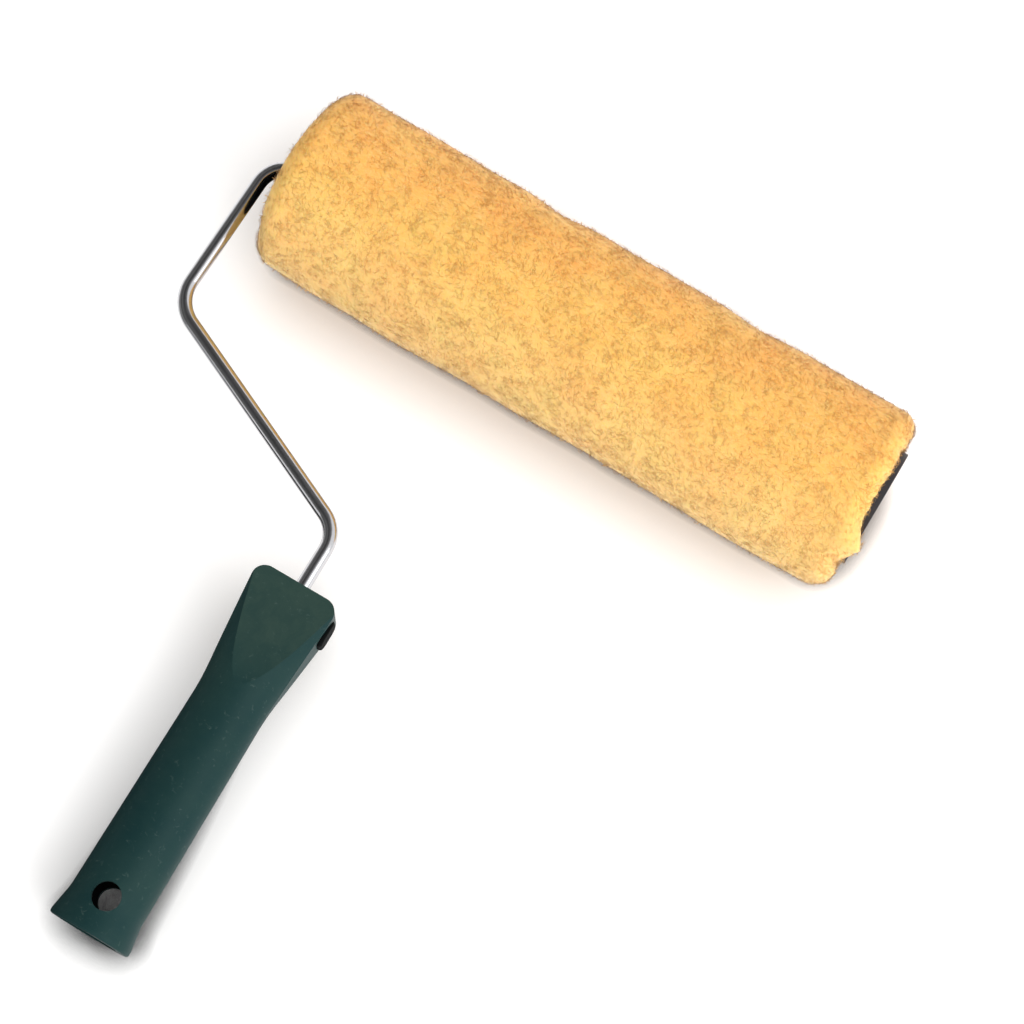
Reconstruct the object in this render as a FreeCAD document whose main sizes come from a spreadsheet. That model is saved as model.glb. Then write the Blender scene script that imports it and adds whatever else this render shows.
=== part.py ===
import FreeCAD, Part
import Sketcher

import math
import os
import re

# A cage-frame paint roller that lies on a flat surface, at rest on its pile and on the butt of its handle.
# Millimetres. The tool is drawn in its own plane: +X along the axle, away from the bent wire,
# +Y from the handle towards the axle, Z square to the plane of the bent wire. X starts at the tube's end.
# The handle's own frame has its origin at the butt, with +Y towards the head.

SIZES = {
    # sleeve
    "tube_length": 254.0,
    "tube_bore": 44.0,
    "tube_wall": 2.0,
    "pile_overhang": 2.6,
    "pile_setback": 1.5,
    "pile_depth": 14.0,
    "pile_edge_radius": 8.5,
    "glue_gap": 0.05,
    # bent wire
    "wire_diameter": 6.0,
    "axle_corner_out": 13.6,
    "elbow_out": 15.5,
    "elbow_drop": 68.9,
    "neck_drop": 113.4,
    "axle_bend": 12.5,
    "elbow_bend": 15.0,
    "neck_bend": 13.0,
    "handle_offset": 83.45,
    "handle_lean": 0.45,
    "tip_recess": 1.5,
    "tip_chamfer": 0.6,
    "tail_insert": 75.0,
    "wing_length": 10.0,
    "wing_proud": 1.3,
    "wing_thickness": 2.4,
    "wing_setback": 8.0,
    "ear_start": 0.6,
    "ear_length": 1.4,
    "ear_proud": 1.5,
    "ear_thickness": 2.4,
    # cage
    "running_gap": 0.3,
    "hub_clearance": 0.05,
    "hub_wall": 3.95,
    "hub_length": 10.0,
    "web_thickness": 3.0,
    "web_setback": 1.7,
    "rim_depth": 12.0,
    "rim_wall": 5.2,
    "flange_thickness": 3.2,
    "outer_cap_recess": 0.5,
    "cage_wire_diameter": 2.0,
    "cage_wire_seat": 6.0,
    "cage_wire_inset": 2.6,
    "cage_wire_lead": 4.0,
    "seat_clearance": 0.05,
    # washers and push nut
    "washer_clearance": 0.1,
    "washer_width": 3.4,
    "washer_thickness": 1.0,
    "nut_bite": 0.02,
    "nut_width": 3.0,
    "nut_brim": 1.0,
    "nut_thickness": 0.8,
    "nut_dome": 0.8,
    "nut_setback": 1.6,
    # handle
    "butt_reach": 289.7,
    "handle_length": 150.3,
    "waist_diameter": 28.3,
    "waist_drop": 46.3,
    "waist_blend": 90.0,
    "grip_swell": 1.0,
    "grip_start": 12.0,
    "grip_blend": 25.0,
    "lip_proud": 1.6,
    "lip_bead": 1.0,
    "lip_height": 2.2,
    "head_flare": 7.85,
    "facet_drop": 38.5,
    "facet_ease": 0.25,
    "facet_taper": 2.0,
    "side_drop": 38.3,
    "side_ease": 0.75,
    "side_flare": 3.0,
    "cut_lead": 10.0,
    "head_corner": 5.5,
    "head_roof": 3.3,
    "hang_hole_height": 14.8,
    "hang_hole_diameter": 11.2,
    # inner core
    "shell_wall": 2.2,
    "core_wall": 1.15,
    "core_clearance": 0.05,
    "shoulder_drop": 48.3,
    "neck_wall": 2.95,
    "core_recess": 1.4,
    "socket_floor": 15.3,
    "tab_drop": 10.4,
    "tab_length": 11.2,
    "tab_depth": 14.5,
    "tab_corner": 4.0,
    "tab_proud": 1.3,
    "tab_round": 1.2,
}
CAGE_WIRES = 5
MARGIN = "5"
FAR = "40"

doc = FreeCAD.newDocument("paint_roller")
sheet = doc.addObject("Spreadsheet::Sheet", "Dims")
for row, (word, value) in enumerate(SIZES.items(), start=1):
    sheet.set("A%d" % row, word)
    sheet.set("B%d" % row, str(value))
    sheet.setAlias("B%d" % row, word)
doc.recompute()


def formula(text):
    """An expression on the sheet's cells, from one that uses their plain words."""
    return re.sub(r"[a-z][a-z_]+", lambda m: "Dims." + m.group() if m.group() in SIZES else m.group(), text)


def size(text):
    return float(sheet.evalExpression(formula(text)))


def point(across, up):
    return FreeCAD.Vector(size(across), size(up), 0)


def bind(thing, name, text):
    thing.setExpression(name, formula(text))


# ---------------------------------------------------------------- sketches


def new_body(label):
    body = doc.addObject("PartDesign::Body", label)
    body.Label = label
    return body


def new_sketch(body, plane, name):
    origin_plane = next(f for f in body.Origin.OriginFeatures if f.Role == plane)
    sketch = body.newObject("Sketcher::SketchObject", name)
    sketch.AttachmentSupport = [(origin_plane, "")]
    sketch.MapMode = "FlatFace"
    return sketch


def pin_down(sketch, geometry, end, across, up):
    """Holds one end of a line at the place that two formulas give."""
    for axis, kind, text in ((-2, "DistanceX", across), (-1, "DistanceY", up)):
        if abs(size(text)) < 1e-9:
            sketch.addConstraint(Sketcher.Constraint("PointOnObject", geometry, end, axis))
            continue
        number = sketch.addConstraint(Sketcher.Constraint(kind, -1, 1, geometry, end, size(text)))
        bind(sketch, "Constraints[%d]" % number, text)


def bent_line(sketch, corners, closed=False):
    """Straight runs through corners of (across, up, radius), with a tangent arc where a radius is given."""
    place = [FreeCAD.Vector(size(c[0]), size(c[1]), 0) for c in corners]
    radius = [size(c[2]) if len(c) > 2 else 0.0 for c in corners]
    count = len(corners)
    runs = count if closed else count - 1
    guides = []
    for i in range(runs):
        guide = sketch.addGeometry(Part.LineSegment(place[i], place[(i + 1) % count]), True)
        pin_down(sketch, guide, 1, corners[i][0], corners[i][1])
        if i:
            sketch.addConstraint(Sketcher.Constraint("Coincident", guides[-1], 2, guide, 1))
        guides.append(guide)
    if closed:
        sketch.addConstraint(Sketcher.Constraint("Coincident", guides[-1], 2, guides[0], 1))
    else:
        pin_down(sketch, guides[-1], 2, corners[-1][0], corners[-1][1])

    def setback(i):
        """How far a corner's arc reaches along each run, and the unit vectors towards both neighbours."""
        back = (place[i - 1] - place[i]).normalize()
        ahead = (place[(i + 1) % count] - place[i]).normalize()
        half = back.getAngle(ahead) / 2
        return radius[i] / math.tan(half), back, ahead, half

    lines = []
    for i in range(runs):
        begin, finish = place[i], place[(i + 1) % count]
        heading = (finish - begin).normalize()
        if radius[i]:
            begin = begin + heading * setback(i)[0]
        if radius[(i + 1) % count]:
            finish = finish - heading * setback((i + 1) % count)[0]
        line = sketch.addGeometry(Part.LineSegment(begin, finish), False)
        for end, corner in ((1, i), (2, (i + 1) % count)):
            if radius[corner]:
                sketch.addConstraint(Sketcher.Constraint("PointOnObject", line, end, guides[i]))
            else:
                guide_end = 1 if end == 1 else 2
                sketch.addConstraint(Sketcher.Constraint("Coincident", line, end, guides[i], guide_end))
        lines.append(line)
    for i in range(count):
        if not radius[i]:
            continue
        reach, back, ahead, half = setback(i)
        centre = place[i] + (back + ahead).normalize() * (radius[i] / math.sin(half))
        ends = [place[i] + back * reach, place[i] + ahead * reach]
        clockwise = back.cross(ahead).z > 0
        spokes = [end - centre for end in (reversed(ends) if clockwise else ends)]
        angles = [math.atan2(spoke.y, spoke.x) for spoke in spokes]
        if angles[1] < angles[0]:
            angles[1] += 2 * math.pi
        full = Part.Circle(centre, FreeCAD.Vector(0, 0, 1), radius[i])
        arc = sketch.addGeometry(Part.ArcOfCircle(full, *angles), False)
        before, after = lines[i - 1], lines[i % runs]
        first = 2 if clockwise else 1
        sketch.addConstraint(Sketcher.Constraint("Tangent", before, 2, arc, first))
        sketch.addConstraint(Sketcher.Constraint("Tangent", after, 1, arc, 3 - first))
        number = sketch.addConstraint(Sketcher.Constraint("Radius", arc, radius[i]))
        bind(sketch, "Constraints[%d]" % number, corners[i][2])


def outline(sketch, corners):
    bent_line(sketch, corners, closed=True)


def circle(sketch, across, up, diameter):
    centre = FreeCAD.Vector(size(across), size(up), 0)
    ring = sketch.addGeometry(Part.Circle(centre, FreeCAD.Vector(0, 0, 1), size(diameter) / 2), False)
    pin_down(sketch, ring, 3, across, up)
    number = sketch.addConstraint(Sketcher.Constraint("Diameter", ring, size(diameter)))
    bind(sketch, "Constraints[%d]" % number, diameter)


# ---------------------------------------------------------------- features


def turned(body, corners, axis, kind="Revolution"):
    """Turns a section about the sketch's own axis, to add it or to cut it away."""
    sketch = new_sketch(body, "XY_Plane", body.Label + "_" + kind.lower() + "_section")
    for loop in corners:
        outline(sketch, loop)
    feature = body.newObject("PartDesign::" + kind, body.Label + "_" + kind.lower())
    feature.Profile = sketch
    feature.ReferenceAxis = (sketch, [axis])
    feature.Angle = 360.0


def extruded(body, plane, name, length, kind, draw, one_way=False):
    """Pads or pockets what draw puts in a sketch, evenly to both sides of its plane or along its normal."""
    sketch = new_sketch(body, plane, body.Label + "_" + name + "_outline")
    draw(sketch)
    feature = body.newObject("PartDesign::" + kind, body.Label + "_" + name)
    feature.Profile = sketch
    if one_way:
        feature.Reversed = kind == "Pocket"
    else:
        feature.SideType = "Symmetric"
    bind(feature, "Length", length)


def box_loop(across, up, width, height, corner=None):
    """Corners of a rectangle about a centre given by two formulas."""
    loop = []
    for side, level in ((-1, -1), (1, -1), (1, 1), (-1, 1)):
        point = ["%s + %d * (%s) / 2" % (across, side, width), "%s + %d * (%s) / 2" % (up, level, height)]
        loop.append(tuple(point + [corner] if corner else point))
    return loop


def round_edges(body, feature_name, kind, amount, chosen):
    """Fillets or chamfers the edges of the body that chosen picks."""
    doc.recompute()
    base = body.Tip
    names = ["Edge%d" % n for n, edge in enumerate(base.Shape.Edges, start=1) if chosen(edge)]
    feature = body.newObject("PartDesign::" + kind, body.Label + "_" + feature_name)
    feature.Base = (base, names)
    bind(feature, "Radius" if kind == "Fillet" else "Size", amount)


# ---------------------------------------------------------------- sleeve

TUBE = "(tube_bore / 2 + tube_wall)"
PILE = "(tube_bore / 2 + tube_wall + pile_depth)"


def core_tube():
    body = new_body("core_tube")
    section = [("0", "tube_bore / 2"), ("tube_length", "tube_bore / 2")]
    section += [("tube_length", TUBE), ("0", TUBE)]
    turned(body, [section], "H_Axis")
    return body


def pile_cover():
    body = new_body("pile_cover")
    inner = TUBE + " + glue_gap"
    first, last = "0 - pile_overhang", "tube_length - pile_setback"
    section = [(first, inner), (last, inner)]
    section += [(last, PILE, "pile_edge_radius"), (first, PILE, "pile_edge_radius")]
    turned(body, [section], "H_Axis")
    return body


# ---------------------------------------------------------------- cage

CAP = "(tube_bore / 2 - running_gap)"
FLANGE = "(tube_bore / 2 + tube_wall - running_gap)"
RIM = "(tube_bore / 2 - running_gap - rim_wall)"
BORE = "(wire_diameter / 2 + hub_clearance)"
HUB = "(wire_diameter / 2 + hub_clearance + hub_wall)"
WIRE_RING = "(tube_bore / 2 - running_gap - cage_wire_inset)"
HUB_START = "(ear_start + ear_length + washer_thickness + running_gap)"
RIM_END = "(tube_length - outer_cap_recess)"
TIP = "(tube_length - tip_recess)"
NUT_END = "(tube_length - tip_recess - nut_setback)"
WASHER_OUT = "(%s - nut_thickness - nut_dome)" % NUT_END
OUTER_HUB_END = "(%s - washer_thickness - running_gap)" % WASHER_OUT


def seat_holes(body, face, towards_tip):
    """Blind holes for the cage wires, from the cap's inner face, repeated round the axle."""
    sketch = new_sketch(body, "YZ_Plane", body.Label + "_seat_outline")
    bind(sketch, "AttachmentOffset.Base.z", face)
    circle(sketch, WIRE_RING, "0", "cage_wire_diameter + 2 * seat_clearance")
    hole = body.newObject("PartDesign::Pocket", body.Label + "_seat")
    hole.Profile = sketch
    hole.Reversed = towards_tip
    bind(hole, "Length", "cage_wire_seat")
    ring = body.newObject("PartDesign::PolarPattern", body.Label + "_seat_ring")
    ring.Originals = [hole]
    ring.Axis = (sketch, ["N_Axis"])
    ring.Angle = 360.0
    ring.Occurrences = CAGE_WIRES
    body.Tip = ring


def cage_cap_inner():
    """The frame-side cap, with a flange that the tube's end face seats on."""
    body = new_body("cage_cap_inner")
    web = "(%s + web_setback)" % HUB_START
    web_end = web + " + web_thickness"
    hub_end = HUB_START + " + hub_length"
    section = [("0 - flange_thickness", RIM), ("0 - flange_thickness", FLANGE), ("0", FLANGE)]
    section += [("0", CAP), ("rim_depth", CAP), ("rim_depth", RIM), (web_end, RIM), (web_end, HUB)]
    section += [(hub_end, HUB), (hub_end, BORE), (HUB_START, BORE), (HUB_START, HUB), (web, HUB), (web, RIM)]
    turned(body, [section], "H_Axis")
    seat_holes(body, "rim_depth", False)
    return body


def cage_cap_outer():
    """The free end's cap, which the sleeve slides over."""
    body = new_body("cage_cap_outer")
    web_end = "(%s - web_setback)" % OUTER_HUB_END
    web = web_end + " - web_thickness"
    hub_start = OUTER_HUB_END + " - hub_length"
    rim_start = RIM_END + " - rim_depth"
    section = [(rim_start, RIM), (web, RIM), (web, HUB), (hub_start, HUB), (hub_start, BORE)]
    section += [(OUTER_HUB_END, BORE), (OUTER_HUB_END, HUB), (web_end, HUB), (web_end, RIM)]
    section += [(RIM_END, RIM), (RIM_END, CAP), (rim_start, CAP)]
    turned(body, [section], "H_Axis")
    seat_holes(body, rim_start, True)
    return body


def cage_wire(number):
    """A spring wire from cap to cap that bows out to just clear the tube."""
    body = new_body("cage_wire_%d" % number)
    path = new_sketch(body, "XY_Plane", body.Label + "_path")
    first = "(rim_depth - cage_wire_seat + seat_clearance)"
    last = "(%s - rim_depth + cage_wire_seat - seat_clearance)" % RIM_END
    bend_in = "(rim_depth + cage_wire_lead)"
    bend_out = "(%s - rim_depth - cage_wire_lead)" % RIM_END
    rise = "(cage_wire_inset - cage_wire_diameter / 2)"
    run = "((%s - %s) / 2)" % (bend_out, bend_in)
    # The top arc takes 90% of each half, which brings its crown to 55% of the corner's height.
    height = "(%s / 0.55)" % rise
    lead_bend = "(0.8 * cage_wire_lead / tan(atan(%s / %s) / 2))" % (height, run)
    top_bend = "(0.9 * %s / tan(atan(%s / %s)))" % (run, height, run)
    middle = "((%s + %s) / 2)" % (bend_in, bend_out)
    crown = "%s + %s" % (WIRE_RING, height)
    corners = [(first, WIRE_RING), (bend_in, WIRE_RING, lead_bend), (middle, crown, top_bend)]
    corners += [(bend_out, WIRE_RING, lead_bend), (last, WIRE_RING)]
    bent_line(path, corners)
    swept(body, path, first, WIRE_RING, "cage_wire_diameter")
    return body


def swept(body, path, across, up, diameter):
    """A round rod along a path whose first run lies along X."""
    section = new_sketch(body, "YZ_Plane", body.Label + "_section")
    bind(section, "AttachmentOffset.Base.z", across)
    circle(section, up, "0", diameter)
    rod = body.newObject("PartDesign::AdditivePipe", body.Label + "_rod")
    rod.Profile = section
    rod.Spine = path
    return rod


# ---------------------------------------------------------------- wire and its fittings

TAIL_END = "(handle_length - tail_insert)"
WING_SPAN = "wire_diameter + 2 * wing_proud"


def down_the_handle(reach):
    """The place on the handle's axis at a reach from the axle, measured as if the handle did not lean."""
    below = "((%s - neck_drop) * %s(handle_lean * 1 deg))"
    return "handle_offset + " + below % (reach, "sin"), "0 - neck_drop - " + below % (reach, "cos")


def bracket_wire():
    body = new_body("bracket_wire")
    path = new_sketch(body, "XY_Plane", "bracket_path")
    corners = [(TIP, "0"), ("0 - axle_corner_out", "0", "axle_bend")]
    corners += [("0 - elbow_out", "0 - elbow_drop", "elbow_bend")]
    corners += [("handle_offset", "0 - neck_drop", "neck_bend")]
    corners += [down_the_handle("(butt_reach - %s)" % TAIL_END)]
    bent_line(path, corners)
    swept(body, path, TIP, "0", "wire_diameter")

    def ears(sketch):
        span = "wire_diameter + 2 * ear_proud"
        outline(sketch, box_loop("ear_start + ear_length / 2", "0", "ear_length", span))

    def wings(sketch):
        middle = down_the_handle("(butt_reach - %s - wing_setback - wing_length / 2)" % TAIL_END)
        bind(sketch, "AttachmentOffset.Base.x", middle[0])
        bind(sketch, "AttachmentOffset.Base.y", middle[1])
        bind(sketch, "AttachmentOffset.Rotation.Angle", "handle_lean")
        outline(sketch, box_loop("0", "0", WING_SPAN, "wing_length"))

    extruded(body, "XY_Plane", "ears", "ear_thickness", "Pad", ears)
    extruded(body, "XY_Plane", "wings", "wing_thickness", "Pad", wings)
    tip = size(TIP)
    tail = size(down_the_handle("(butt_reach - %s)" % TAIL_END)[1])
    slack = size("wire_diameter") * math.sin(math.radians(size("handle_lean")))

    def end_rims(edge):
        box = edge.BoundBox
        return (box.XMin > tip - 0.01) or (box.YMax < tail + slack)

    round_edges(body, "ends", "Chamfer", "tip_chamfer", end_rims)
    return body


def washer(label, start):
    body = new_body(label)
    bore = "wire_diameter / 2 + washer_clearance"
    rim = bore + " + washer_width"
    end = start + " + washer_thickness"
    section = [(start, bore), (end, bore), (end, rim), (start, rim)]
    turned(body, [section], "H_Axis")
    return body


def push_nut():
    """A dished spring disc that bites the axle and holds the cage on."""
    body = new_body("push_nut")
    bore = "wire_diameter / 2 + nut_bite"
    rim = bore + " + nut_width"
    base = "(%s - nut_thickness - nut_dome)" % NUT_END
    section = [(base, rim + " - nut_brim"), (base, rim), (base + " + nut_thickness", rim), (NUT_END, bore)]
    section += [(NUT_END + " - nut_thickness", bore)]
    turned(body, [section], "H_Axis")
    return body


# ---------------------------------------------------------------- handle


WAIST = "waist_diameter / 2"
CORE = "(waist_diameter / 2 - shell_wall - core_clearance)"
NECK = "(waist_diameter / 2 + facet_ease - facet_taper - neck_wall - core_clearance)"
SOCKET = "(waist_diameter / 2 - shell_wall - core_clearance - core_wall)"
SHOULDER = "(handle_length - shoulder_drop)"
TAB_LEVEL = "handle_length - tab_drop"


def facet_depth(drop):
    """Half the depth between the head's front and back facets, at a drop from the head's top."""
    return "(waist_diameter / 2 + facet_ease - facet_taper * (1 - (%s) / facet_drop))" % drop


def side_width(drop):
    """Half the width between the head's side facets, at a drop from the head's top."""
    return "(waist_diameter / 2 + side_ease + side_flare * (1 - (%s) / side_drop))" % drop


def handle_blank(body):
    """The round grip with its lip, running into the flared cone that the head is cut from."""
    waist, grip, lip = WAIST, WAIST + " + grip_swell", WAIST + " + grip_swell + lip_proud"
    top = "%s + head_flare * (1 + %s / waist_drop)" % (WAIST, MARGIN)
    section = [("0", "0"), (lip, "0", "lip_bead"), (lip, "lip_height", "lip_bead")]
    section += [(grip, "grip_start", "grip_blend"), (waist, "handle_length - waist_drop", "waist_blend")]
    section += [(top, "handle_length + " + MARGIN), ("0", "handle_length + " + MARGIN)]
    turned(body, [section], "V_Axis")


def handle_shell():
    body = new_body("handle_shell")
    handle_blank(body)
    above = "(handle_length + 2 * %s)" % MARGIN

    def facets(sketch):
        drop = "(facet_drop + cut_lead)"
        deep, shallow = facet_depth(drop), facet_depth("0 - 2 * " + MARGIN)
        low = "(handle_length - %s)" % drop
        for sign in ("1", "-1"):
            edge = [(low, deep), (above, shallow), (above, FAR), (low, FAR)]
            outline(sketch, [(across, "%s * %s" % (sign, up)) for across, up in edge])

    def sides(sketch):
        drop = "(side_drop + cut_lead)"
        narrow, wide = side_width(drop), side_width("0")
        low = "(handle_length - %s)" % drop
        outer = [("0 - " + FAR, low), ("0 - " + narrow, low), ("0 - " + wide, "handle_length", "head_corner")]
        outer += [(wide, "handle_length", "head_corner"), (narrow, low), (FAR, low)]
        outer += [(FAR, above), ("0 - " + FAR, above)]
        outline(sketch, outer)

    extruded(body, "YZ_Plane", "facets", "2 * " + FAR, "Pocket", facets)
    extruded(body, "XY_Plane", "sides", "2 * " + FAR, "Pocket", sides)
    cavity, neck = CORE + " + core_clearance", NECK + " + core_clearance"
    hole = "wire_diameter / 2 + core_clearance"
    roof = "handle_length - head_roof"
    step = SHOULDER + " + core_clearance"
    bores = [("0", "0 - " + MARGIN), (cavity, "0 - " + MARGIN), (cavity, step)]
    bores += [(neck, "%s + %s - %s" % (step, CORE, NECK)), (neck, roof)]
    bores += [(hole, roof), (hole, above), ("0", above)]
    turned(body, [bores], "V_Axis", "Groove")

    def window(sketch):
        clear = " + 2 * core_clearance"
        outline(sketch, box_loop(TAB_LEVEL, "0", "tab_length" + clear, "tab_depth" + clear, "tab_corner"))

    extruded(body, "YZ_Plane", "window", FAR, "Pocket", window, one_way=True)
    extruded(body, "XY_Plane", "hang_hole", "2 * " + FAR, "Pocket", hang_hole)
    return body


def hang_hole(sketch):
    circle(sketch, "0", "hang_hole_height", "hang_hole_diameter")


def handle_core():
    """The dark moulding inside the grip: it holds the wire's tail and lines the pole socket."""
    body = new_body("handle_core")
    top = "handle_length - head_roof - core_clearance"
    section = [("0", "core_recess"), (CORE, "core_recess"), (CORE, SHOULDER)]
    section += [(NECK, "%s + %s - %s" % (SHOULDER, CORE, NECK)), (NECK, top), ("0", top)]
    turned(body, [section], "V_Axis")
    reach = "(%s + tab_proud)" % side_width("tab_drop")

    def tab(sketch):
        outline(sketch, box_loop(TAB_LEVEL, "0", "tab_length", "tab_depth", "tab_corner"))

    extruded(body, "YZ_Plane", "tab", reach, "Pad", tab, one_way=True)
    limit = size(reach)

    def tab_rim(edge):
        return edge.BoundBox.XMin > limit - 0.01

    round_edges(body, "tab_rounding", "Fillet", "tab_round", tab_rim)
    above = "(handle_length + %s)" % MARGIN
    hole = "wire_diameter / 2 + core_clearance"
    tail = TAIL_END + " - core_clearance"
    floor = TAIL_END + " - socket_floor"
    socket = [("0", "0"), (SOCKET, "0"), (SOCKET, floor), ("0", floor)]
    tail_hole = [("0", tail), (hole, tail), (hole, above), ("0", above)]
    turned(body, [socket, tail_hole], "V_Axis", "Groove")

    def wing_slot(sketch):
        clear = " + 2 * core_clearance"
        middle = TAIL_END + " + wing_setback + wing_length / 2"
        outline(sketch, box_loop("0", middle, WING_SPAN + clear, "wing_length" + clear))

    extruded(body, "XY_Plane", "wing_slot", "wing_thickness + 2 * core_clearance", "Pocket", wing_slot)
    extruded(body, "XY_Plane", "hang_hole", "2 * " + FAR, "Pocket", hang_hole)
    return body


# ---------------------------------------------------------------- assembly

roller_parts = [core_tube(), pile_cover(), cage_cap_inner(), cage_cap_outer()]
wires = [cage_wire(n) for n in range(1, CAGE_WIRES + 1)]
roller_parts += [bracket_wire(), washer("stop_washer", "ear_start + ear_length")]
roller_parts += [washer("end_washer", WASHER_OUT + " - washer_thickness"), push_nut()]
handle_parts = [handle_shell(), handle_core()]
doc.recompute()

# The tool's plane leans so that the lip's bead and the pile both touch the floor.
pile_radius = size(PILE)
bead = size("lip_bead")
reach = size("butt_reach - lip_bead")
drop = size(WAIST + " + grip_swell + lip_proud - lip_bead")
lean = math.asin((pile_radius - bead) / math.hypot(reach, drop)) - math.atan2(drop, reach)
across = FreeCAD.Vector(1, 0, 0)
tool = FreeCAD.Placement(FreeCAD.Vector(0, 0, pile_radius), FreeCAD.Rotation(across, math.degrees(lean)))
butt = point(*down_the_handle("butt_reach"))
handle_turn = FreeCAD.Rotation(FreeCAD.Vector(0, 0, 1), size("handle_lean"))
handle = tool.multiply(FreeCAD.Placement(butt, handle_turn))

for body in roller_parts:
    body.Placement = tool
for body in handle_parts:
    body.Placement = handle
for number, body in enumerate(wires):
    turn = FreeCAD.Rotation(across, 360.0 * number / CAGE_WIRES)
    body.Placement = tool.multiply(FreeCAD.Placement(FreeCAD.Vector(), turn))
doc.recompute()

# The origin is under the middle of the whole roller's box, on the floor.
pieces = roller_parts + wires + handle_parts
whole = FreeCAD.BoundBox()
for body in pieces:
    whole.add(body.Shape.optimalBoundingBox(False, False))
shift = FreeCAD.Vector(-whole.Center.x, -whole.Center.y, -whole.ZMin)
for body in pieces:
    body.Placement = FreeCAD.Placement(shift, FreeCAD.Rotation()).multiply(body.Placement)
doc.recompute()

for thing in doc.Objects:
    if "Invalid" in thing.State or "Error" in thing.State:
        raise RuntimeError("%s did not build: %s" % (thing.Label, thing.State))
for body in pieces:
    if body.Shape.isNull() or not body.Shape.isValid() or not body.Shape.Solids:
        raise RuntimeError(body.Label + " is not a valid solid")

os.makedirs("parts", exist_ok=True)
for body in pieces:
    body.Shape.exportStep("parts/%s.step" % body.Label)
    print("%-16s solids %d volume %.1f" % (body.Label, len(body.Shape.Solids), body.Shape.Volume))
box = (whole.XLength, whole.YLength, whole.ZLength)
print("lean %.3f degrees, box %.2f x %.2f x %.2f" % ((math.degrees(lean),) + box))
print("shift %.4f %.4f %.4f" % (shift.x, shift.y, shift.z))
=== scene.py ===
import math

import bpy
import numpy as np
from mathutils import Matrix, Vector, noise


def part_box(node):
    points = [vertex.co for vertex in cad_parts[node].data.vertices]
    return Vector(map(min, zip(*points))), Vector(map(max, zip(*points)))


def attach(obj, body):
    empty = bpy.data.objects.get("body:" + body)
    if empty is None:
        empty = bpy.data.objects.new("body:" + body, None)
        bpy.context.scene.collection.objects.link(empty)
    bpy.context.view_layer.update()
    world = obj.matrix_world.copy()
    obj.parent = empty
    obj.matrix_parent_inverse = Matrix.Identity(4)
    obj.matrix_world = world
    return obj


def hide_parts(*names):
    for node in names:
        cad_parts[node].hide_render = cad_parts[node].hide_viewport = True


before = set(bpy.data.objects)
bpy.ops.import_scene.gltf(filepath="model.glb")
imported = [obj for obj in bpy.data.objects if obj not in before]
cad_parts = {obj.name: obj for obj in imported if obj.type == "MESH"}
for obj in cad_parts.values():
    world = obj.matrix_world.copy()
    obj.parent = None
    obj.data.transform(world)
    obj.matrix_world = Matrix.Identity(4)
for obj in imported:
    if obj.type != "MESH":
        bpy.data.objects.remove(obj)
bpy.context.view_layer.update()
RANDOM = np.random.default_rng(25)

PILE_LOW, PILE_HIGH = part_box("pile_cover")
TUBE_LOW, TUBE_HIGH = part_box("core_tube")
AXLE_Y = (PILE_LOW.y + PILE_HIGH.y) / 2
AXLE_Z = (PILE_LOW.z + PILE_HIGH.z) / 2
PILE_RADIUS = (PILE_HIGH.y - PILE_LOW.y) / 2
TUBE_RADIUS = (TUBE_HIGH.y - TUBE_LOW.y) / 2
PILE_LENGTH = PILE_HIGH.x - PILE_LOW.x


# ---------------------------------------------------------------- camera

AZIMUTH, ELEVATION, ROLL = (math.radians(angle) for angle in (17.68, 73.77, 13.6))
DISTANCE = 1.29233
LENS, SENSOR = 118.82, 36.0                              # millimetres
AIM = Vector((TUBE_LOW.x + 0.13514, AXLE_Y - 0.06902, 0.020))


def make_camera():
    """The camera looks down on the roller from beyond its butt, with a long lens and some roll."""
    level = math.cos(ELEVATION)
    back = Vector((math.sin(AZIMUTH) * level, -math.cos(AZIMUTH) * level, math.sin(ELEVATION)))
    right = (-back).cross(Vector((0, 0, 1))).normalized()
    up = right.cross(-back)
    tilted_right = right * math.cos(ROLL) + up * math.sin(ROLL)
    tilted_up = up * math.cos(ROLL) - right * math.sin(ROLL)
    data = bpy.data.cameras.new("camera")
    data.lens = LENS
    data.sensor_width = SENSOR
    camera = bpy.data.objects.new("camera", data)
    turn = Matrix((tilted_right, tilted_up, back)).transposed().to_4x4()
    camera.matrix_world = Matrix.Translation(AIM + back * DISTANCE) @ turn
    bpy.context.collection.objects.link(camera)
    bpy.context.scene.camera = camera


# ---------------------------------------------------------------- node helpers

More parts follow.
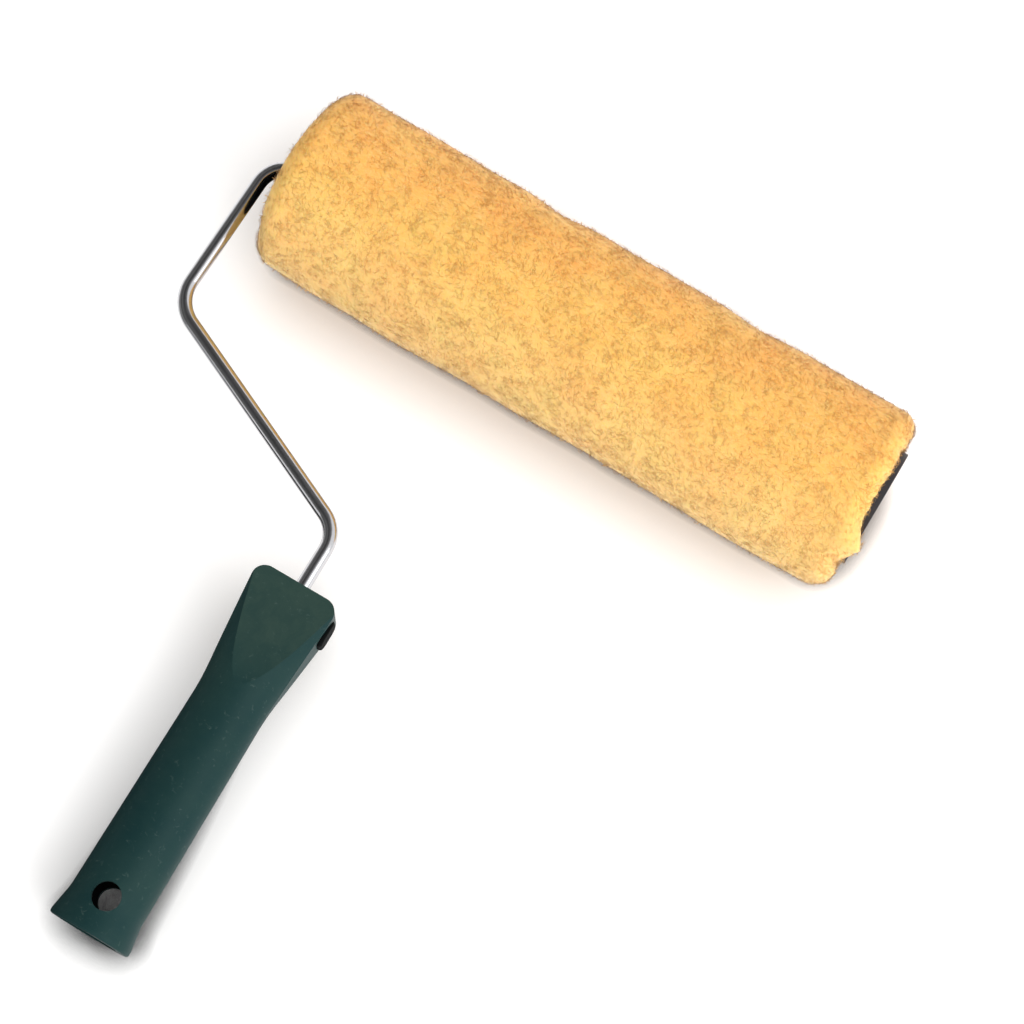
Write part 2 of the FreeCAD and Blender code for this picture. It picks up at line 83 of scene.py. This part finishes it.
class Nodes:
    """A short way to write the nodes of a material, or of the world."""

    def __init__(self, owner, output="OutputMaterial"):
        owner.use_nodes = True
        self.owner = owner
        self.tree = owner.node_tree
        self.tree.nodes.clear()
        self.out = self.add(output)

    def join(self, value, socket):
        """Links a socket to another, or sets it to a plain value."""
        if hasattr(value, "is_linked"):
            self.tree.links.new(value, socket)
        else:
            socket.default_value = value

    def add(self, kind, inputs=None, **settings):
        node = self.tree.nodes.new("ShaderNode" + kind)
        for name, value in settings.items():
            setattr(node, name, value)
        for key, value in (inputs or {}).items():
            self.join(value, node.inputs[key])
        return node

    def noise(self, vector, scale, detail=4.0, roughness=0.55, distortion=0.0):
        inputs = {"Vector": vector, "Scale": scale, "Detail": detail, "Roughness": roughness,
                  "Distortion": distortion}
        return self.add("TexNoise", inputs).outputs["Fac"]

    def ramp(self, factor, stops):
        """Colours, or greys given as one number, at rising places from 0 to 1."""
        node = self.add("ValToRGB", {"Fac": factor})
        elements = node.color_ramp.elements
        while len(elements) < len(stops):
            elements.new(0.5)
        for element, (place, colour) in zip(elements, stops):
            element.position = place
            grey = isinstance(colour, float)
            element.color = (colour, colour, colour, 1) if grey else (*colour, 1)
        return node.outputs["Color"]

    def mix(self, factor, a, b):
        """Mixes two colours, where a is a socket; sockets 6 and 7 and output 2 are the node's colours."""
        node = self.add("Mix", data_type="RGBA")
        b = b if hasattr(b, "is_linked") else (*b, 1)
        for index, value in ((0, factor), (6, a), (7, b)):
            self.join(value, node.inputs[index])
        return node.outputs[2]

    def math(self, operation, *operands):
        node = self.add("Math", operation=operation)
        for value, socket in zip(operands, node.inputs):
            self.join(value, socket)
        return node.outputs[0]

    def place(self):
        return self.add("TexCoord").outputs["Object"]

    def along(self, vector, axis):
        """One coordinate of a vector: X, Y or Z."""
        return self.add("SeparateXYZ", {"Vector": vector}).outputs[axis]

    def stretched(self, scale):
        return self.add("Mapping", {"Vector": self.place(), "Scale": scale}).outputs["Vector"]

    def bump(self, height, strength, distance):
        inputs = {"Height": height, "Strength": strength, "Distance": distance}
        return self.add("Bump", inputs).outputs["Normal"]

    def principled(self, **inputs):
        """The standard surface, with its sockets' names written with underscores."""
        named = {key.replace("_", " "): value for key, value in inputs.items()}
        return self.add("BsdfPrincipled", named).outputs[0]

    def mix_shaders(self, factor, a, b):
        node = self.add("MixShader", {"Fac": factor})
        self.join(a, node.inputs[1])
        self.join(b, node.inputs[2])
        return node.outputs[0]

    def finish(self, shader):
        """Shows the shader on the surface, and gives back the material or world."""
        self.join(shader, self.out.inputs["Surface"])
        return self.owner


def new_material(name):
    return Nodes(bpy.data.materials.new(name))


# ---------------------------------------------------------------- materials

PILE_ORANGE = (0.985, 0.415, 0.105)
PILE_AMBER = (0.985, 0.495, 0.130)
PILE_GOLD = (0.990, 0.610, 0.170)
PILE_TIP = (0.995, 0.690, 0.290)
SIDE_LIGHT_SCALE = 13.0                                      # about one over the pile's diameter, per metre, for the painted light across the sleeve
FIBRE_GLOW = 0.4                                         # the share of light that passes through a fibre


def pile_material(name, is_fibre):
    """Dyed plush: soft orange and gold clouds and wisps, a nap seen edge-on, and painted light across it,
    paler gold on one side and deeper orange on the other. The ground is slightly soft below its surface, and
    the fibres let light through."""
    n = new_material(name)
    place = n.place()
    clouds = n.noise(place, scale=34.0, detail=4.0, roughness=0.55, distortion=0.3)
    patches = n.noise(place, scale=95.0, detail=5.0, roughness=0.6, distortion=0.5)
    lengthwise = n.stretched((0.45, 1.0, 1.0))
    wisps = n.noise(lengthwise, scale=900.0, detail=4.0, roughness=0.65, distortion=1.2)
    dye = n.ramp(clouds, [(0.34, PILE_ORANGE), (0.50, PILE_AMBER), (0.66, PILE_GOLD)])
    patch = n.ramp(patches, [(0.36, PILE_ORANGE), (0.64, PILE_GOLD)])
    colour = n.mix(0.45, dye, patch)
    # Painted light and shade across the sleeve: paler gold on the −Y side, deeper orange on the +Y side.
    across = n.math("MULTIPLY", n.math("SUBTRACT", n.along(place, "Y"), AXLE_Y), SIDE_LIGHT_SCALE)
    painted_side_light = n.ramp(n.math("ADD", across, 0.5),
                    [(0.02, PILE_TIP), (0.35, PILE_GOLD), (0.90, PILE_ORANGE)])
    colour = n.mix(0.48, colour, painted_side_light)
    colour = n.mix(n.ramp(wisps, [(0.46, 0.0), (0.70, 0.45)]), colour, PILE_TIP)
    nap = {"Roughness": 1.0, "Sheen_Weight": 0.5, "Sheen_Roughness": 0.4, "Specular_IOR_Level": 0.0,
           "Sheen_Tint": (1.0, 0.84, 0.62, 1)}
    if is_fibre:
        through = n.add("BsdfTranslucent", {"Color": colour}).outputs[0]
        return n.finish(n.mix_shaders(FIBRE_GLOW, n.principled(Base_Color=colour, **nap), through))
    normal = n.bump(wisps, strength=0.08, distance=0.0003)
    return n.finish(n.principled(Base_Color=colour, Normal=normal, Subsurface_Weight=0.5,
                                 Subsurface_Radius=(1.0, 0.6, 0.3), Subsurface_Scale=0.0012, **nap))


def chrome_material():
    """Bright plate over drawn wire, with faint haze and pin specks."""
    n = new_material("chrome_plate")
    haze = n.noise(n.place(), scale=60.0, detail=5.0, roughness=0.6)
    specks = n.noise(n.place(), scale=900.0, detail=2.0, roughness=0.5)
    rough = n.ramp(haze, [(0.3, 0.10), (0.7, 0.20)])
    tint = n.ramp(specks, [(0.2, (0.44, 0.44, 0.46)), (0.36, (0.60, 0.60, 0.62))])
    normal = n.bump(specks, strength=0.04, distance=0.0001)
    return n.finish(n.principled(Base_Color=tint, Metallic=1.0, Roughness=rough, Normal=normal))


def metal_material(name, low, high, roughness):
    """Plain drawn or stamped metal, with streaks along the axle between a low and a high tone."""
    n = new_material(name)
    streaks = n.noise(n.stretched((0.15, 1.0, 1.0)), scale=700.0, detail=4.0, roughness=0.6)
    colour = n.ramp(streaks, [(0.3, low), (0.7, high)])
    rough = n.ramp(streaks, [(0.3, roughness), (0.7, roughness + 0.15)])
    normal = n.bump(streaks, strength=0.08, distance=0.0001)
    return n.finish(n.principled(Base_Color=colour, Metallic=1.0, Roughness=rough, Normal=normal))


TOP_LIGHT_FADE = 0.02                                         # metres over which the painted light on the head's top comes in


def plastic_material(name, tones, roughness, scuff, shine=0.3, painted_top_light=None):
    """Satin moulded plastic: a cloudy tone, a fine spark-eroded grain and pale scuffs. The tones are dark,
    light and scuff. The painted top light is a level along the tool and the paler colour painted above it,
    in patches, on upward faces as painted light."""
    dark, light, scuff_colour = tones
    n = new_material(name)
    place = n.place()
    cloud = n.noise(place, scale=30.0, detail=5.0, roughness=0.65)
    grain = n.noise(place, scale=2400.0, detail=2.0, roughness=0.6)
    marks = n.noise(place, scale=420.0, detail=6.0, roughness=0.7, distortion=0.6)
    colour = n.ramp(cloud, [(0.3, dark), (0.7, light)])
    # Painted light: a paler green on upward faces above a level near the head, in patches.
    if painted_top_light is not None:
        level, lit_tone = painted_top_light
        rise = n.math("SUBTRACT", n.along(place, "Y"), level)
        lit_rise = n.ramp(n.math("MULTIPLY", rise, 1 / TOP_LIGHT_FADE), [(0.0, 0.0), (1.0, 0.8)])
        upward = n.along(n.add("NewGeometry").outputs["Normal"], "Z")
        lit_top = n.math("MULTIPLY", lit_rise, n.ramp(upward, [(0.93, 0.0), (0.985, 1.0)]))
        lit_patches = n.noise(place, scale=130.0, detail=6.0, roughness=0.7, distortion=0.8)
        lit_share = n.math("MULTIPLY", lit_top, n.ramp(lit_patches, [(0.3, 0.5), (0.7, 1.0)]))
        colour = n.mix(lit_share, colour, lit_tone)
    scuffs = n.ramp(marks, [(0.60, 0.0), (0.70, scuff)])
    colour = n.mix(scuffs, colour, scuff_colour)
    rough = n.ramp(cloud, [(0.3, roughness), (0.7, roughness + 0.12)])
    normal = n.bump(grain, strength=0.12, distance=0.0001)
    return n.finish(n.principled(Base_Color=colour, Roughness=rough, Normal=normal,
                                 Specular_IOR_Level=shine))


def dress(node, material):
    """Gives a CAD node its material in place of the plain one."""
    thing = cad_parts[node]
    thing.data.materials.clear()
    thing.data.materials.append(material)


# ---------------------------------------------------------------- pile shape

def new_mesh(name, vertices, faces, material, uv, lean=None):
    """A smooth mesh object from arrays: places, faces in groups of one corner count, and one texture place
    for each vertex. Lean gives each vertex the direction that it is shaded by, where that isn't its own."""
    mesh = bpy.data.meshes.new(name)
    mesh.vertices.add(len(vertices))
    mesh.vertices.foreach_set("co", vertices.ravel())
    loops = np.concatenate([group.ravel() for group in faces])
    counts = np.concatenate([np.full(len(group), group.shape[1]) for group in faces])
    mesh.loops.add(len(loops))
    mesh.loops.foreach_set("vertex_index", loops)
    mesh.polygons.add(len(counts))
    starts = np.concatenate([[0], np.cumsum(counts)[:-1]])
    mesh.polygons.foreach_set("loop_start", starts)
    mesh.polygons.foreach_set("loop_total", counts)
    mesh.update(calc_edges=True)
    mesh.validate()
    mesh.polygons.foreach_set("use_smooth", np.ones(len(mesh.polygons), bool))
    layer = mesh.uv_layers.new(name="OFBake")
    index = np.zeros(len(mesh.loops), int)
    mesh.loops.foreach_get("vertex_index", index)
    layer.data.foreach_set("uv", uv[index].ravel())
    if lean is not None:
        mesh.normals_split_custom_set_from_vertices(lean.tolist())
    mesh.materials.append(material)
    thing = bpy.data.objects.new(name, mesh)
    bpy.context.collection.objects.link(thing)
    return thing


EDGE = 0.0085                                            # radius of the pile's rounded ends
EDGE_POINTS = 13
STEP = 0.00105                                           # between the surface's rows and columns
NAP = 0.0006                                             # how far the ground lies below the fibres
TUBE_GAP = 0.0002                                        # between the tube and the pile's ends
ROOTED = 0.004                                           # near the tube the pile doesn't swell out


def pile_profile():
    """The pile's outline from the tube at one end to the tube at the other, as points of x and r."""
    points = []
    inner = TUBE_RADIUS + TUBE_GAP
    shoulder = PILE_RADIUS - EDGE
    for r in np.arange(inner, shoulder, STEP):
        points.append((0.0, r))
    for a in np.linspace(0, math.pi / 2, EDGE_POINTS):
        points.append((EDGE - EDGE * math.cos(a), shoulder + EDGE * math.sin(a)))
    for x in np.arange(EDGE + STEP, PILE_LENGTH - EDGE, STEP):
        points.append((x, PILE_RADIUS))
    for a in np.linspace(math.pi / 2, 0, EDGE_POINTS):
        points.append((PILE_LENGTH - EDGE + EDGE * math.cos(a), shoulder + EDGE * math.sin(a)))
    for r in np.arange(shoulder - STEP, inner, -STEP):
        points.append((PILE_LENGTH, r))
    return np.array(points)


def pile_normal(profile):
    """The outward direction at each point of the profile, as its share along the axle and away from it."""
    tangent = np.gradient(profile, axis=0)
    tangent /= np.linalg.norm(tangent, axis=1)[:, None]
    return np.stack([-tangent[:, 1], tangent[:, 0]], 1)


# Wear is told by soft humps, each of a height, a centre and a width. At the free end the centre is measured
# across the end, and on the sides it is measured along the pile.
TOP_SIDE = math.radians(105.5)                           # the side that faces the camera
SIDE_WIDTH = 0.45                                        # radians
FREE_END = ((-0.0014, -0.0040, 0.0110), (-0.0009, -0.0225, 0.0018), (0.0042, 0.0172, 0.0050),
            (0.0013, 0.0315, 0.0035), (-0.0018, 0.0262, 0.0018))
PRESSED = ((-0.0014, PILE_LENGTH / 2 - 0.030, 0.010), (-0.0014, PILE_LENGTH / 2 + 0.056, 0.012))
LOFTED = ((0.0010, PILE_LENGTH - 0.045, 0.025), (0.0007, 0.045, 0.050))
FULL_END, FULL_FALL, FULL_REACH = 0.0019, 0.0014, 0.032
RAGGED = 0.0009
RAGGED_GRAIN = (90.0, 420.0, 160.0)


def humps(value, shapes):
    """The sum of soft humps."""
    return sum(height * math.exp(-((value - centre) / width) ** 2) for height, centre, width in shapes)


def wear(x, angle, radius):
    """The pile's own habits: a fuller end beside the wire, matted tufts and bites at the free end, dips
    along one side, a loftier other side, and a ragged free end."""
    across = radius * math.sin(angle - TOP_SIDE)
    near = max(0.0, 1 - x / EDGE)
    far = max(0.0, (x - PILE_LENGTH + EDGE) / EDGE)
    upper = max(0.0, min(1.0, 2 * math.cos(angle - TOP_SIDE)))
    full = near * (FULL_END - FULL_FALL * min(1.0, (across / FULL_REACH) ** 2))
    matted = far * upper * humps(across, FREE_END)
    pressed = humps(angle, [(1.0, TOP_SIDE - math.pi / 2, SIDE_WIDTH)]) * humps(x, PRESSED)
    lofted = humps(angle, [(1.0, TOP_SIDE + math.pi / 2, SIDE_WIDTH)]) * humps(x, LOFTED)
    place = Vector([value * grain for value, grain in zip((x, across, radius), RAGGED_GRAIN)])
    return full + matted + pressed + lofted + noise.noise(place) * RAGGED * far


# Each layer of the surface has a grain, per metre, and a height.
DIP_GRAIN, DIP_DEPTH = 16.0, 0.0012
DIP_SHIFT, DIP_SHARE = Vector((3.7, 0.0, 1.3)), 0.05
LUMP_GRAIN, LUMP_HEIGHT = 45.0, 0.0005
CLUMP_GRAIN, CLUMP_HEIGHT = 190.0, 0.00009
END_GRAIN, END_HEIGHT = 700.0, 0.00006


def swell(x, angle, radius):
    """How far the pile stands in or out at a place, in metres: broad dips, soft lumps and fibre ends."""
    place = Vector((x, radius * math.cos(angle), radius * math.sin(angle)))
    dips = min(0.0, noise.noise(place * DIP_GRAIN + DIP_SHIFT) + DIP_SHARE) * DIP_DEPTH
    lumps = noise.noise(place * LUMP_GRAIN) * LUMP_HEIGHT
    clumps = noise.fractal(place * CLUMP_GRAIN, 0.9, 2.1, 3) * CLUMP_HEIGHT
    ends = noise.noise(place * END_GRAIN) * END_HEIGHT
    return dips + lumps + clumps + ends + wear(x, angle, radius) - NAP


def make_pile(material):
    """The ground of the pile: rings of points around the axle, closed along the tube."""
    profile = pile_profile()
    normal = pile_normal(profile)
    rows, columns = len(profile), int(2 * math.pi * PILE_RADIUS / STEP)
    angles = np.arange(columns) * 2 * math.pi / columns
    vertices = np.zeros((rows, columns, 3))
    for row, ((x, r), (nx, nr)) in enumerate(zip(profile, normal)):
        inside = min(1.0, (r - TUBE_RADIUS) / ROOTED)
        out = np.array([swell(x, angle, r) for angle in angles])
        out = np.where(out > 0, out * inside, out)
        vertices[row, :, 0] = PILE_LOW.x + x + nx * out
        vertices[row, :, 1] = AXLE_Y + (r + nr * out) * np.cos(angles)
        vertices[row, :, 2] = AXLE_Z + (r + nr * out) * np.sin(angles)
    index = np.arange(rows * columns).reshape(rows, columns)
    beside = np.roll(index, -1, 1)
    outer = np.stack([index[:-1], index[1:], beside[1:], beside[:-1]], -1).reshape(-1, 4)
    inner = np.stack([index[-1], index[0], beside[0], beside[-1]], -1)
    along = np.repeat(np.linspace(0.002, 0.998, rows), columns)
    turn = np.tile(np.linspace(0.002, 0.998, columns), rows)
    uv = np.stack([along, turn], 1)
    thing = new_mesh("plush_pile", vertices.reshape(-1, 3), [outer, inner], material, uv)
    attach(thing, "sleeve")
    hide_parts("pile_cover")


# ---------------------------------------------------------------- pile fibres

PATCHES = 4
FIBRES = 15000                                           # in each patch
FIBRE_LENGTH = (0.0022, 0.0042)
FIBRE_WIDTH = (0.00009, 0.00016)
ROOT_DEPTH = 0.0003
LIE_GRAIN, LIE_TURN = 70.0, math.pi * 2.2                # how the common lie drifts, and how far it turns
STRAY = 0.9                                              # radians away from the common lie
LIFT = (0.08, 0.17)                                      # rise of a fibre, as a share of its length
LOOSE_SHARE, LOOSE_LIFT = 0.14, 0.22
CURL = 0.35
MIDDLE = (0.5, 1.0, 0.4)                                 # shares of its length, lift and curl
TIP = (0.95, 1.2, 1.3)
WAIST = 0.85                                             # width at the middle, as a share of the root's
FLATNESS = 0.4                                           # thickness, as a share of the width
LEAN = 0.15                                              # how far the shading leans to the fibre's side
SIDES = 3
CORNERS = 2 * SIDES + 1
# Each corner's place in the fibre's own small spot of the texture.
SPOT = 0.001 * np.array([(0, 0), (1, 0), (0, 1), (1, 1), (2, 0), (0, 2), (2, 2)])


def scatter(count, low, high):
    """Random places on the pile between two lengths along it, evenly over its area: x and r, the outward
    direction, and the angle around the axle."""
    profile = pile_profile()
    length = np.concatenate([[0], np.cumsum(np.linalg.norm(np.diff(profile, axis=0), axis=1))])
    weight = profile[:, 1] * np.gradient(length)
    weight = np.where((profile[:, 0] >= low) & (profile[:, 0] <= high), weight, 0)
    pick = RANDOM.choice(len(profile), count, p=weight / weight.sum())
    pick = np.clip(pick, 1, len(profile) - 2)
    blend = RANDOM.uniform(-0.5, 0.5, count)
    neighbour = np.where(blend > 0, pick + 1, pick - 1)
    share = np.abs(blend)[:, None]
    root = profile[pick] * (1 - share) + profile[neighbour] * share
    return root, pile_normal(profile)[pick], RANDOM.uniform(0, 2 * math.pi, count)


def common_lie(root, angle):
    """The way that neighbouring fibres lie, which drifts over the pile."""
    places = [Vector((x, r * math.cos(a), r * math.sin(a))) for (x, r), a in zip(root, angle)]
    return np.array([LIE_TURN * noise.noise(place * LIE_GRAIN) for place in places])


def make_fibres(name, low, high, material):
    """Closed tapered fibres that lie over the pile, each rooted just under its surface. They are shaded by
    the pile's own direction and cast no shadow, so that they read as one soft nap."""
    root, out, angle = scatter(FIBRES, low, high)
    swells = np.array([swell(x, a, r) for (x, r), a in zip(root, angle)])
    zeros = np.zeros(FIBRES)
    radial = np.stack([zeros, np.cos(angle), np.sin(angle)], 1)
    around = np.stack([zeros, -np.sin(angle), np.cos(angle)], 1)
    lengthwise = np.array([1.0, 0, 0])
    face = out[:, :1] * lengthwise + out[:, 1:] * radial
    side = out[:, 1:] * lengthwise - out[:, :1] * radial
    lie = common_lie(root, angle) + RANDOM.normal(0, STRAY, FIBRES)
    lay = np.cos(lie)[:, None] * side + np.sin(lie)[:, None] * around
    cross = np.cross(face, lay)
    axle = np.array([PILE_LOW.x, AXLE_Y, AXLE_Z])
    base = axle + root[:, :1] * lengthwise + root[:, 1:] * radial
    base += face * (swells - ROOT_DEPTH)[:, None]
    size = RANDOM.uniform(*FIBRE_LENGTH, FIBRES)[:, None]
    loose = RANDOM.random(FIBRES)[:, None] < LOOSE_SHARE
    lift = RANDOM.uniform(*LIFT, FIBRES)[:, None] + LOOSE_LIFT * loose
    curl = RANDOM.uniform(-CURL, CURL, FIBRES)[:, None]
    width = RANDOM.uniform(*FIBRE_WIDTH, FIBRES)[:, None]
    middle, tip = (base + size * (run * lay + rise * lift * face + bend * curl * cross)
                   for run, rise, bend in (MIDDLE, TIP))
    corners = []
    for centre, breadth in ((base, width), (middle, width * WAIST)):
        for k in range(SIDES):
            turn = 2 * math.pi * k / SIDES + math.pi / 6
            corners.append(centre + breadth * (math.cos(turn) * cross + FLATNESS * math.sin(turn) * face))
    corners.append(tip)
    vertices = np.stack(corners, 1).reshape(-1, 3)
    first = np.arange(FIBRES)[:, None] * CORNERS
    beside = [(k + 1) % SIDES for k in range(SIDES)]
    quads = np.concatenate([first + [k, beside[k], SIDES + beside[k], SIDES + k] for k in range(SIDES)])
    ends = np.concatenate([first + [SIDES + k, SIDES + beside[k], 2 * SIDES] for k in range(SIDES)])
    feet = first + [2, 1, 0]
    along = np.interp(root[:, 0], [0, PILE_LENGTH], [0.02, 0.98])
    spread = np.stack([along, angle / (2 * math.pi) * 0.96 + 0.02], 1)
    uv = (spread[:, None, :] + SPOT[None]).reshape(-1, 2)
    lean = np.repeat(face + LEAN * cross, CORNERS, 0)
    thing = new_mesh(name, vertices, [quads, ends, feet], material, uv, lean)
    thing.visible_shadow = False
    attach(thing, "sleeve")


# ---------------------------------------------------------------- stage

FLOOR_REACH = 3.0
SHADE_REACH, LIFT_SHADE_REACH = 0.012, 0.03                  # how far the floor looks for what covers it, for its painted shade
FLOOR_LIFT = 0.35                                        # share of white light added where it is seen


def add_stage(name, points, faces):
    """An object that belongs to the set and not to the roller."""
    mesh = bpy.data.meshes.new(name)
    mesh.from_pydata(points, [], faces)
    thing = bpy.data.objects.new(name, mesh)
    bpy.context.collection.objects.link(thing)
    return thing


def make_floor():
    """White paper that keeps the object's shadow. Its colour is painted dark where it lies pinched under the
    tool, as painted shade, and seen directly or in a reflection it is lifted to white, less so near the
    tool, as painted shade."""
    reach = FLOOR_REACH
    corners = [(-reach, -reach, 0), (reach, -reach, 0), (reach, reach, 0), (-reach, reach, 0)]
    floor = add_stage("floor", corners, [(0, 1, 2, 3)])
    n = new_material("floor_paper")
    # Painted shade: the paper's colour goes dark where the tool covers it closely.
    shade_cover = n.add("AmbientOcclusion", {"Distance": SHADE_REACH}, samples=5).outputs["AO"]
    shaded_paper = n.add("BsdfDiffuse", {"Color": n.ramp(shade_cover, [(0.62, 0.02), (0.96, 0.86)])}).outputs[0]
    # Painted shade: the lift to white fades near the tool.
    lift_cover = n.add("AmbientOcclusion", {"Distance": LIFT_SHADE_REACH}, samples=5).outputs["AO"]
    lift = n.math("MULTIPLY", n.math("POWER", lift_cover, 2.0), FLOOR_LIFT)
    glow = n.add("Emission", {"Color": (1, 1, 1, 1), "Strength": 1.0}).outputs[0]
    nothing = n.add("Emission", {"Color": (0, 0, 0, 1), "Strength": 0.0}).outputs[0]
    both = n.add("AddShader")
    n.join(shaded_paper, both.inputs[0])
    n.join(n.mix_shaders(n.math("MULTIPLY", seen_ray(n), lift), nothing, glow), both.inputs[1])
    floor.data.materials.append(n.finish(both.outputs[0]))


def seen_ray(n):
    """1 for a ray from the camera, straight or by way of a reflection or of something clear."""
    path = n.add("LightPath").outputs
    straight = n.math("MAXIMUM", path["Is Camera Ray"], path["Is Transmission Ray"])
    return n.math("MAXIMUM", straight, path["Is Glossy Ray"])


LIGHT_LEVEL = 0.98
LIGHT_SLOPE = 0.55                                       # brighter to the right, darker to the left
LIGHT_COLOUR = (1.0, 0.99, 0.98, 1)
LAMP_AIM = Vector((0, 0, 0.03))


def make_lights():
    """A soft white surround, brighter from the right, with a large key lamp on that side."""
    world = bpy.data.worlds.new("studio")
    bpy.context.scene.world = world
    n = Nodes(world, "OutputWorld")
    rightward = n.along(n.add("TexCoord").outputs["Generated"], "X")
    strength = n.math("MULTIPLY_ADD", rightward, LIGHT_SLOPE, LIGHT_LEVEL)
    lit = n.add("Background", {"Color": LIGHT_COLOUR, "Strength": strength}).outputs[0]
    white = n.add("Background", {"Color": (1, 1, 1, 1)}).outputs[0]
    n.finish(n.mix_shaders(seen_ray(n), lit, white))
    lamp("key", place=(1.2, -0.35, 0.9), size=1.5, power=9.0)


def lamp(name, place, size, power):
    """A round soft lamp that looks at the tool."""
    data = bpy.data.lights.new(name, "AREA")
    data.shape = "DISK"
    data.size = size
    data.energy = power
    thing = bpy.data.objects.new(name, data)
    thing.location = place
    thing.rotation_mode = "QUATERNION"
    thing.rotation_quaternion = (LAMP_AIM - Vector(place)).to_track_quat("-Z", "Y")
    bpy.context.collection.objects.link(thing)


FLAG_RADIUS = 1.5
FLAG_FROM, FLAG_TO = math.radians(72.0), math.radians(178.0)
FLAG_COLUMNS, FLAG_ROWS = 24, 8
FLAG_REACH = 1.6
SHADOW_STRIP_LEVEL = 0.0006


def make_flag():
    """A dark studio flag, seen only in reflections: an arch over the left of the set with painted reflection
    bands that darken the chrome, and a dark strip on the floor from there to the middle of the handle, a
    painted shadow seen in reflections."""
    points, faces = [], []
    for row in range(FLAG_ROWS + 1):
        y = -FLAG_REACH + 2 * FLAG_REACH * row / FLAG_ROWS
        for column in range(FLAG_COLUMNS + 1):
            turn = FLAG_FROM + (FLAG_TO - FLAG_FROM) * column / FLAG_COLUMNS
            points.append((FLAG_RADIUS * math.cos(turn), y, FLAG_RADIUS * math.sin(turn)))
    for row in range(FLAG_ROWS):
        for column in range(FLAG_COLUMNS):
            corner = row * (FLAG_COLUMNS + 1) + column
            above = corner + FLAG_COLUMNS + 1
            faces.append((corner, corner + 1, above + 1, above))
    grip_low, grip_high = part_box("handle_shell")
    middle, top = (grip_low.x + grip_high.x) / 2, grip_high.y
    # A dark strip on the floor, seen only in reflections, as painted shadow left of the handle.
    first = len(points)
    for x, y in ((-FLAG_RADIUS, -FLAG_REACH), (middle, -FLAG_REACH), (middle, top), (-FLAG_RADIUS, top)):
        points.append((x, y, SHADOW_STRIP_LEVEL))
    faces.append((first, first + 1, first + 2, first + 3))
    flag = add_stage("flag", points, faces)
    n = new_material("flag_painted_reflection")
    place = n.place()
    # Painted reflection: dark and pale bands around the arch, seen only in the chrome.
    turn = n.math("DIVIDE", n.math("ARCTAN2", n.along(place, "Z"), n.along(place, "X")), math.pi)
    painted_reflection_bands = n.ramp(turn, [(0.40, 0.40), (0.47, 0.16), (0.60, 0.04), (0.74, 0.14), (0.80, 0.06), (0.95, 0.30),
                          (0.985, 0.30), (0.999, 0.03)])
    flag.data.materials.append(n.finish(n.add("BsdfDiffuse", {"Color": painted_reflection_bands}).outputs[0]))
    flag.visible_camera = False
    flag.visible_diffuse = False
    flag.visible_shadow = False
    flag.visible_transmission = False


# ---------------------------------------------------------------- build

make_camera()
make_floor()
make_lights()
make_flag()

make_pile(pile_material("plush_pile", is_fibre=False))
fibre = pile_material("plush_fibre", is_fibre=True)
for patch in range(PATCHES):
    patch_low = PILE_LENGTH * patch / PATCHES
    patch_high = PILE_LENGTH * (patch + 1) / PATCHES
    make_fibres("pile_fibres_%d" % (patch + 1), patch_low, patch_high, fibre)

GREEN = ((0.006, 0.032, 0.034), (0.014, 0.043, 0.040), (0.07, 0.11, 0.10))
BLACK = ((0.002, 0.003, 0.003), (0.006, 0.007, 0.007), (0.04, 0.045, 0.045))
SLATE = ((0.018, 0.019, 0.026), (0.035, 0.037, 0.048), (0.10, 0.10, 0.12))
# The paler green of the painted light on the head's upward faces.
LIT_GREEN = (0.036, 0.068, 0.054)
HEAD_LENGTH = 0.045
HEAD_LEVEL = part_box("handle_shell")[1].y - HEAD_LENGTH
green = plastic_material("green_plastic", GREEN, roughness=0.42, scuff=0.45, shine=0.10,
                         painted_top_light=(HEAD_LEVEL, LIT_GREEN))
black = plastic_material("black_plastic", BLACK, roughness=0.60, scuff=0.3, shine=0.02)
tube = plastic_material("tube_plastic", SLATE, roughness=0.45, scuff=0.4)
chrome = chrome_material()
zinc = metal_material("zinc_steel", (0.50, 0.51, 0.53), (0.66, 0.67, 0.68), roughness=0.30)
spring = metal_material("spring_wire", (0.36, 0.37, 0.39), (0.55, 0.56, 0.58), roughness=0.28)

dress("handle_shell", green)
dress("bracket_wire", chrome)
dress("core_tube", tube)
for node in ("handle_core", "cage_cap_inner", "cage_cap_outer"):
    dress(node, black)
for node in ("stop_washer", "end_washer", "push_nut"):
    dress(node, zinc)
for node in sorted(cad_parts):
    if node.startswith("cage_wire_"):
        dress(node, spring)

bpy.context.scene.view_settings.view_transform = "Standard"
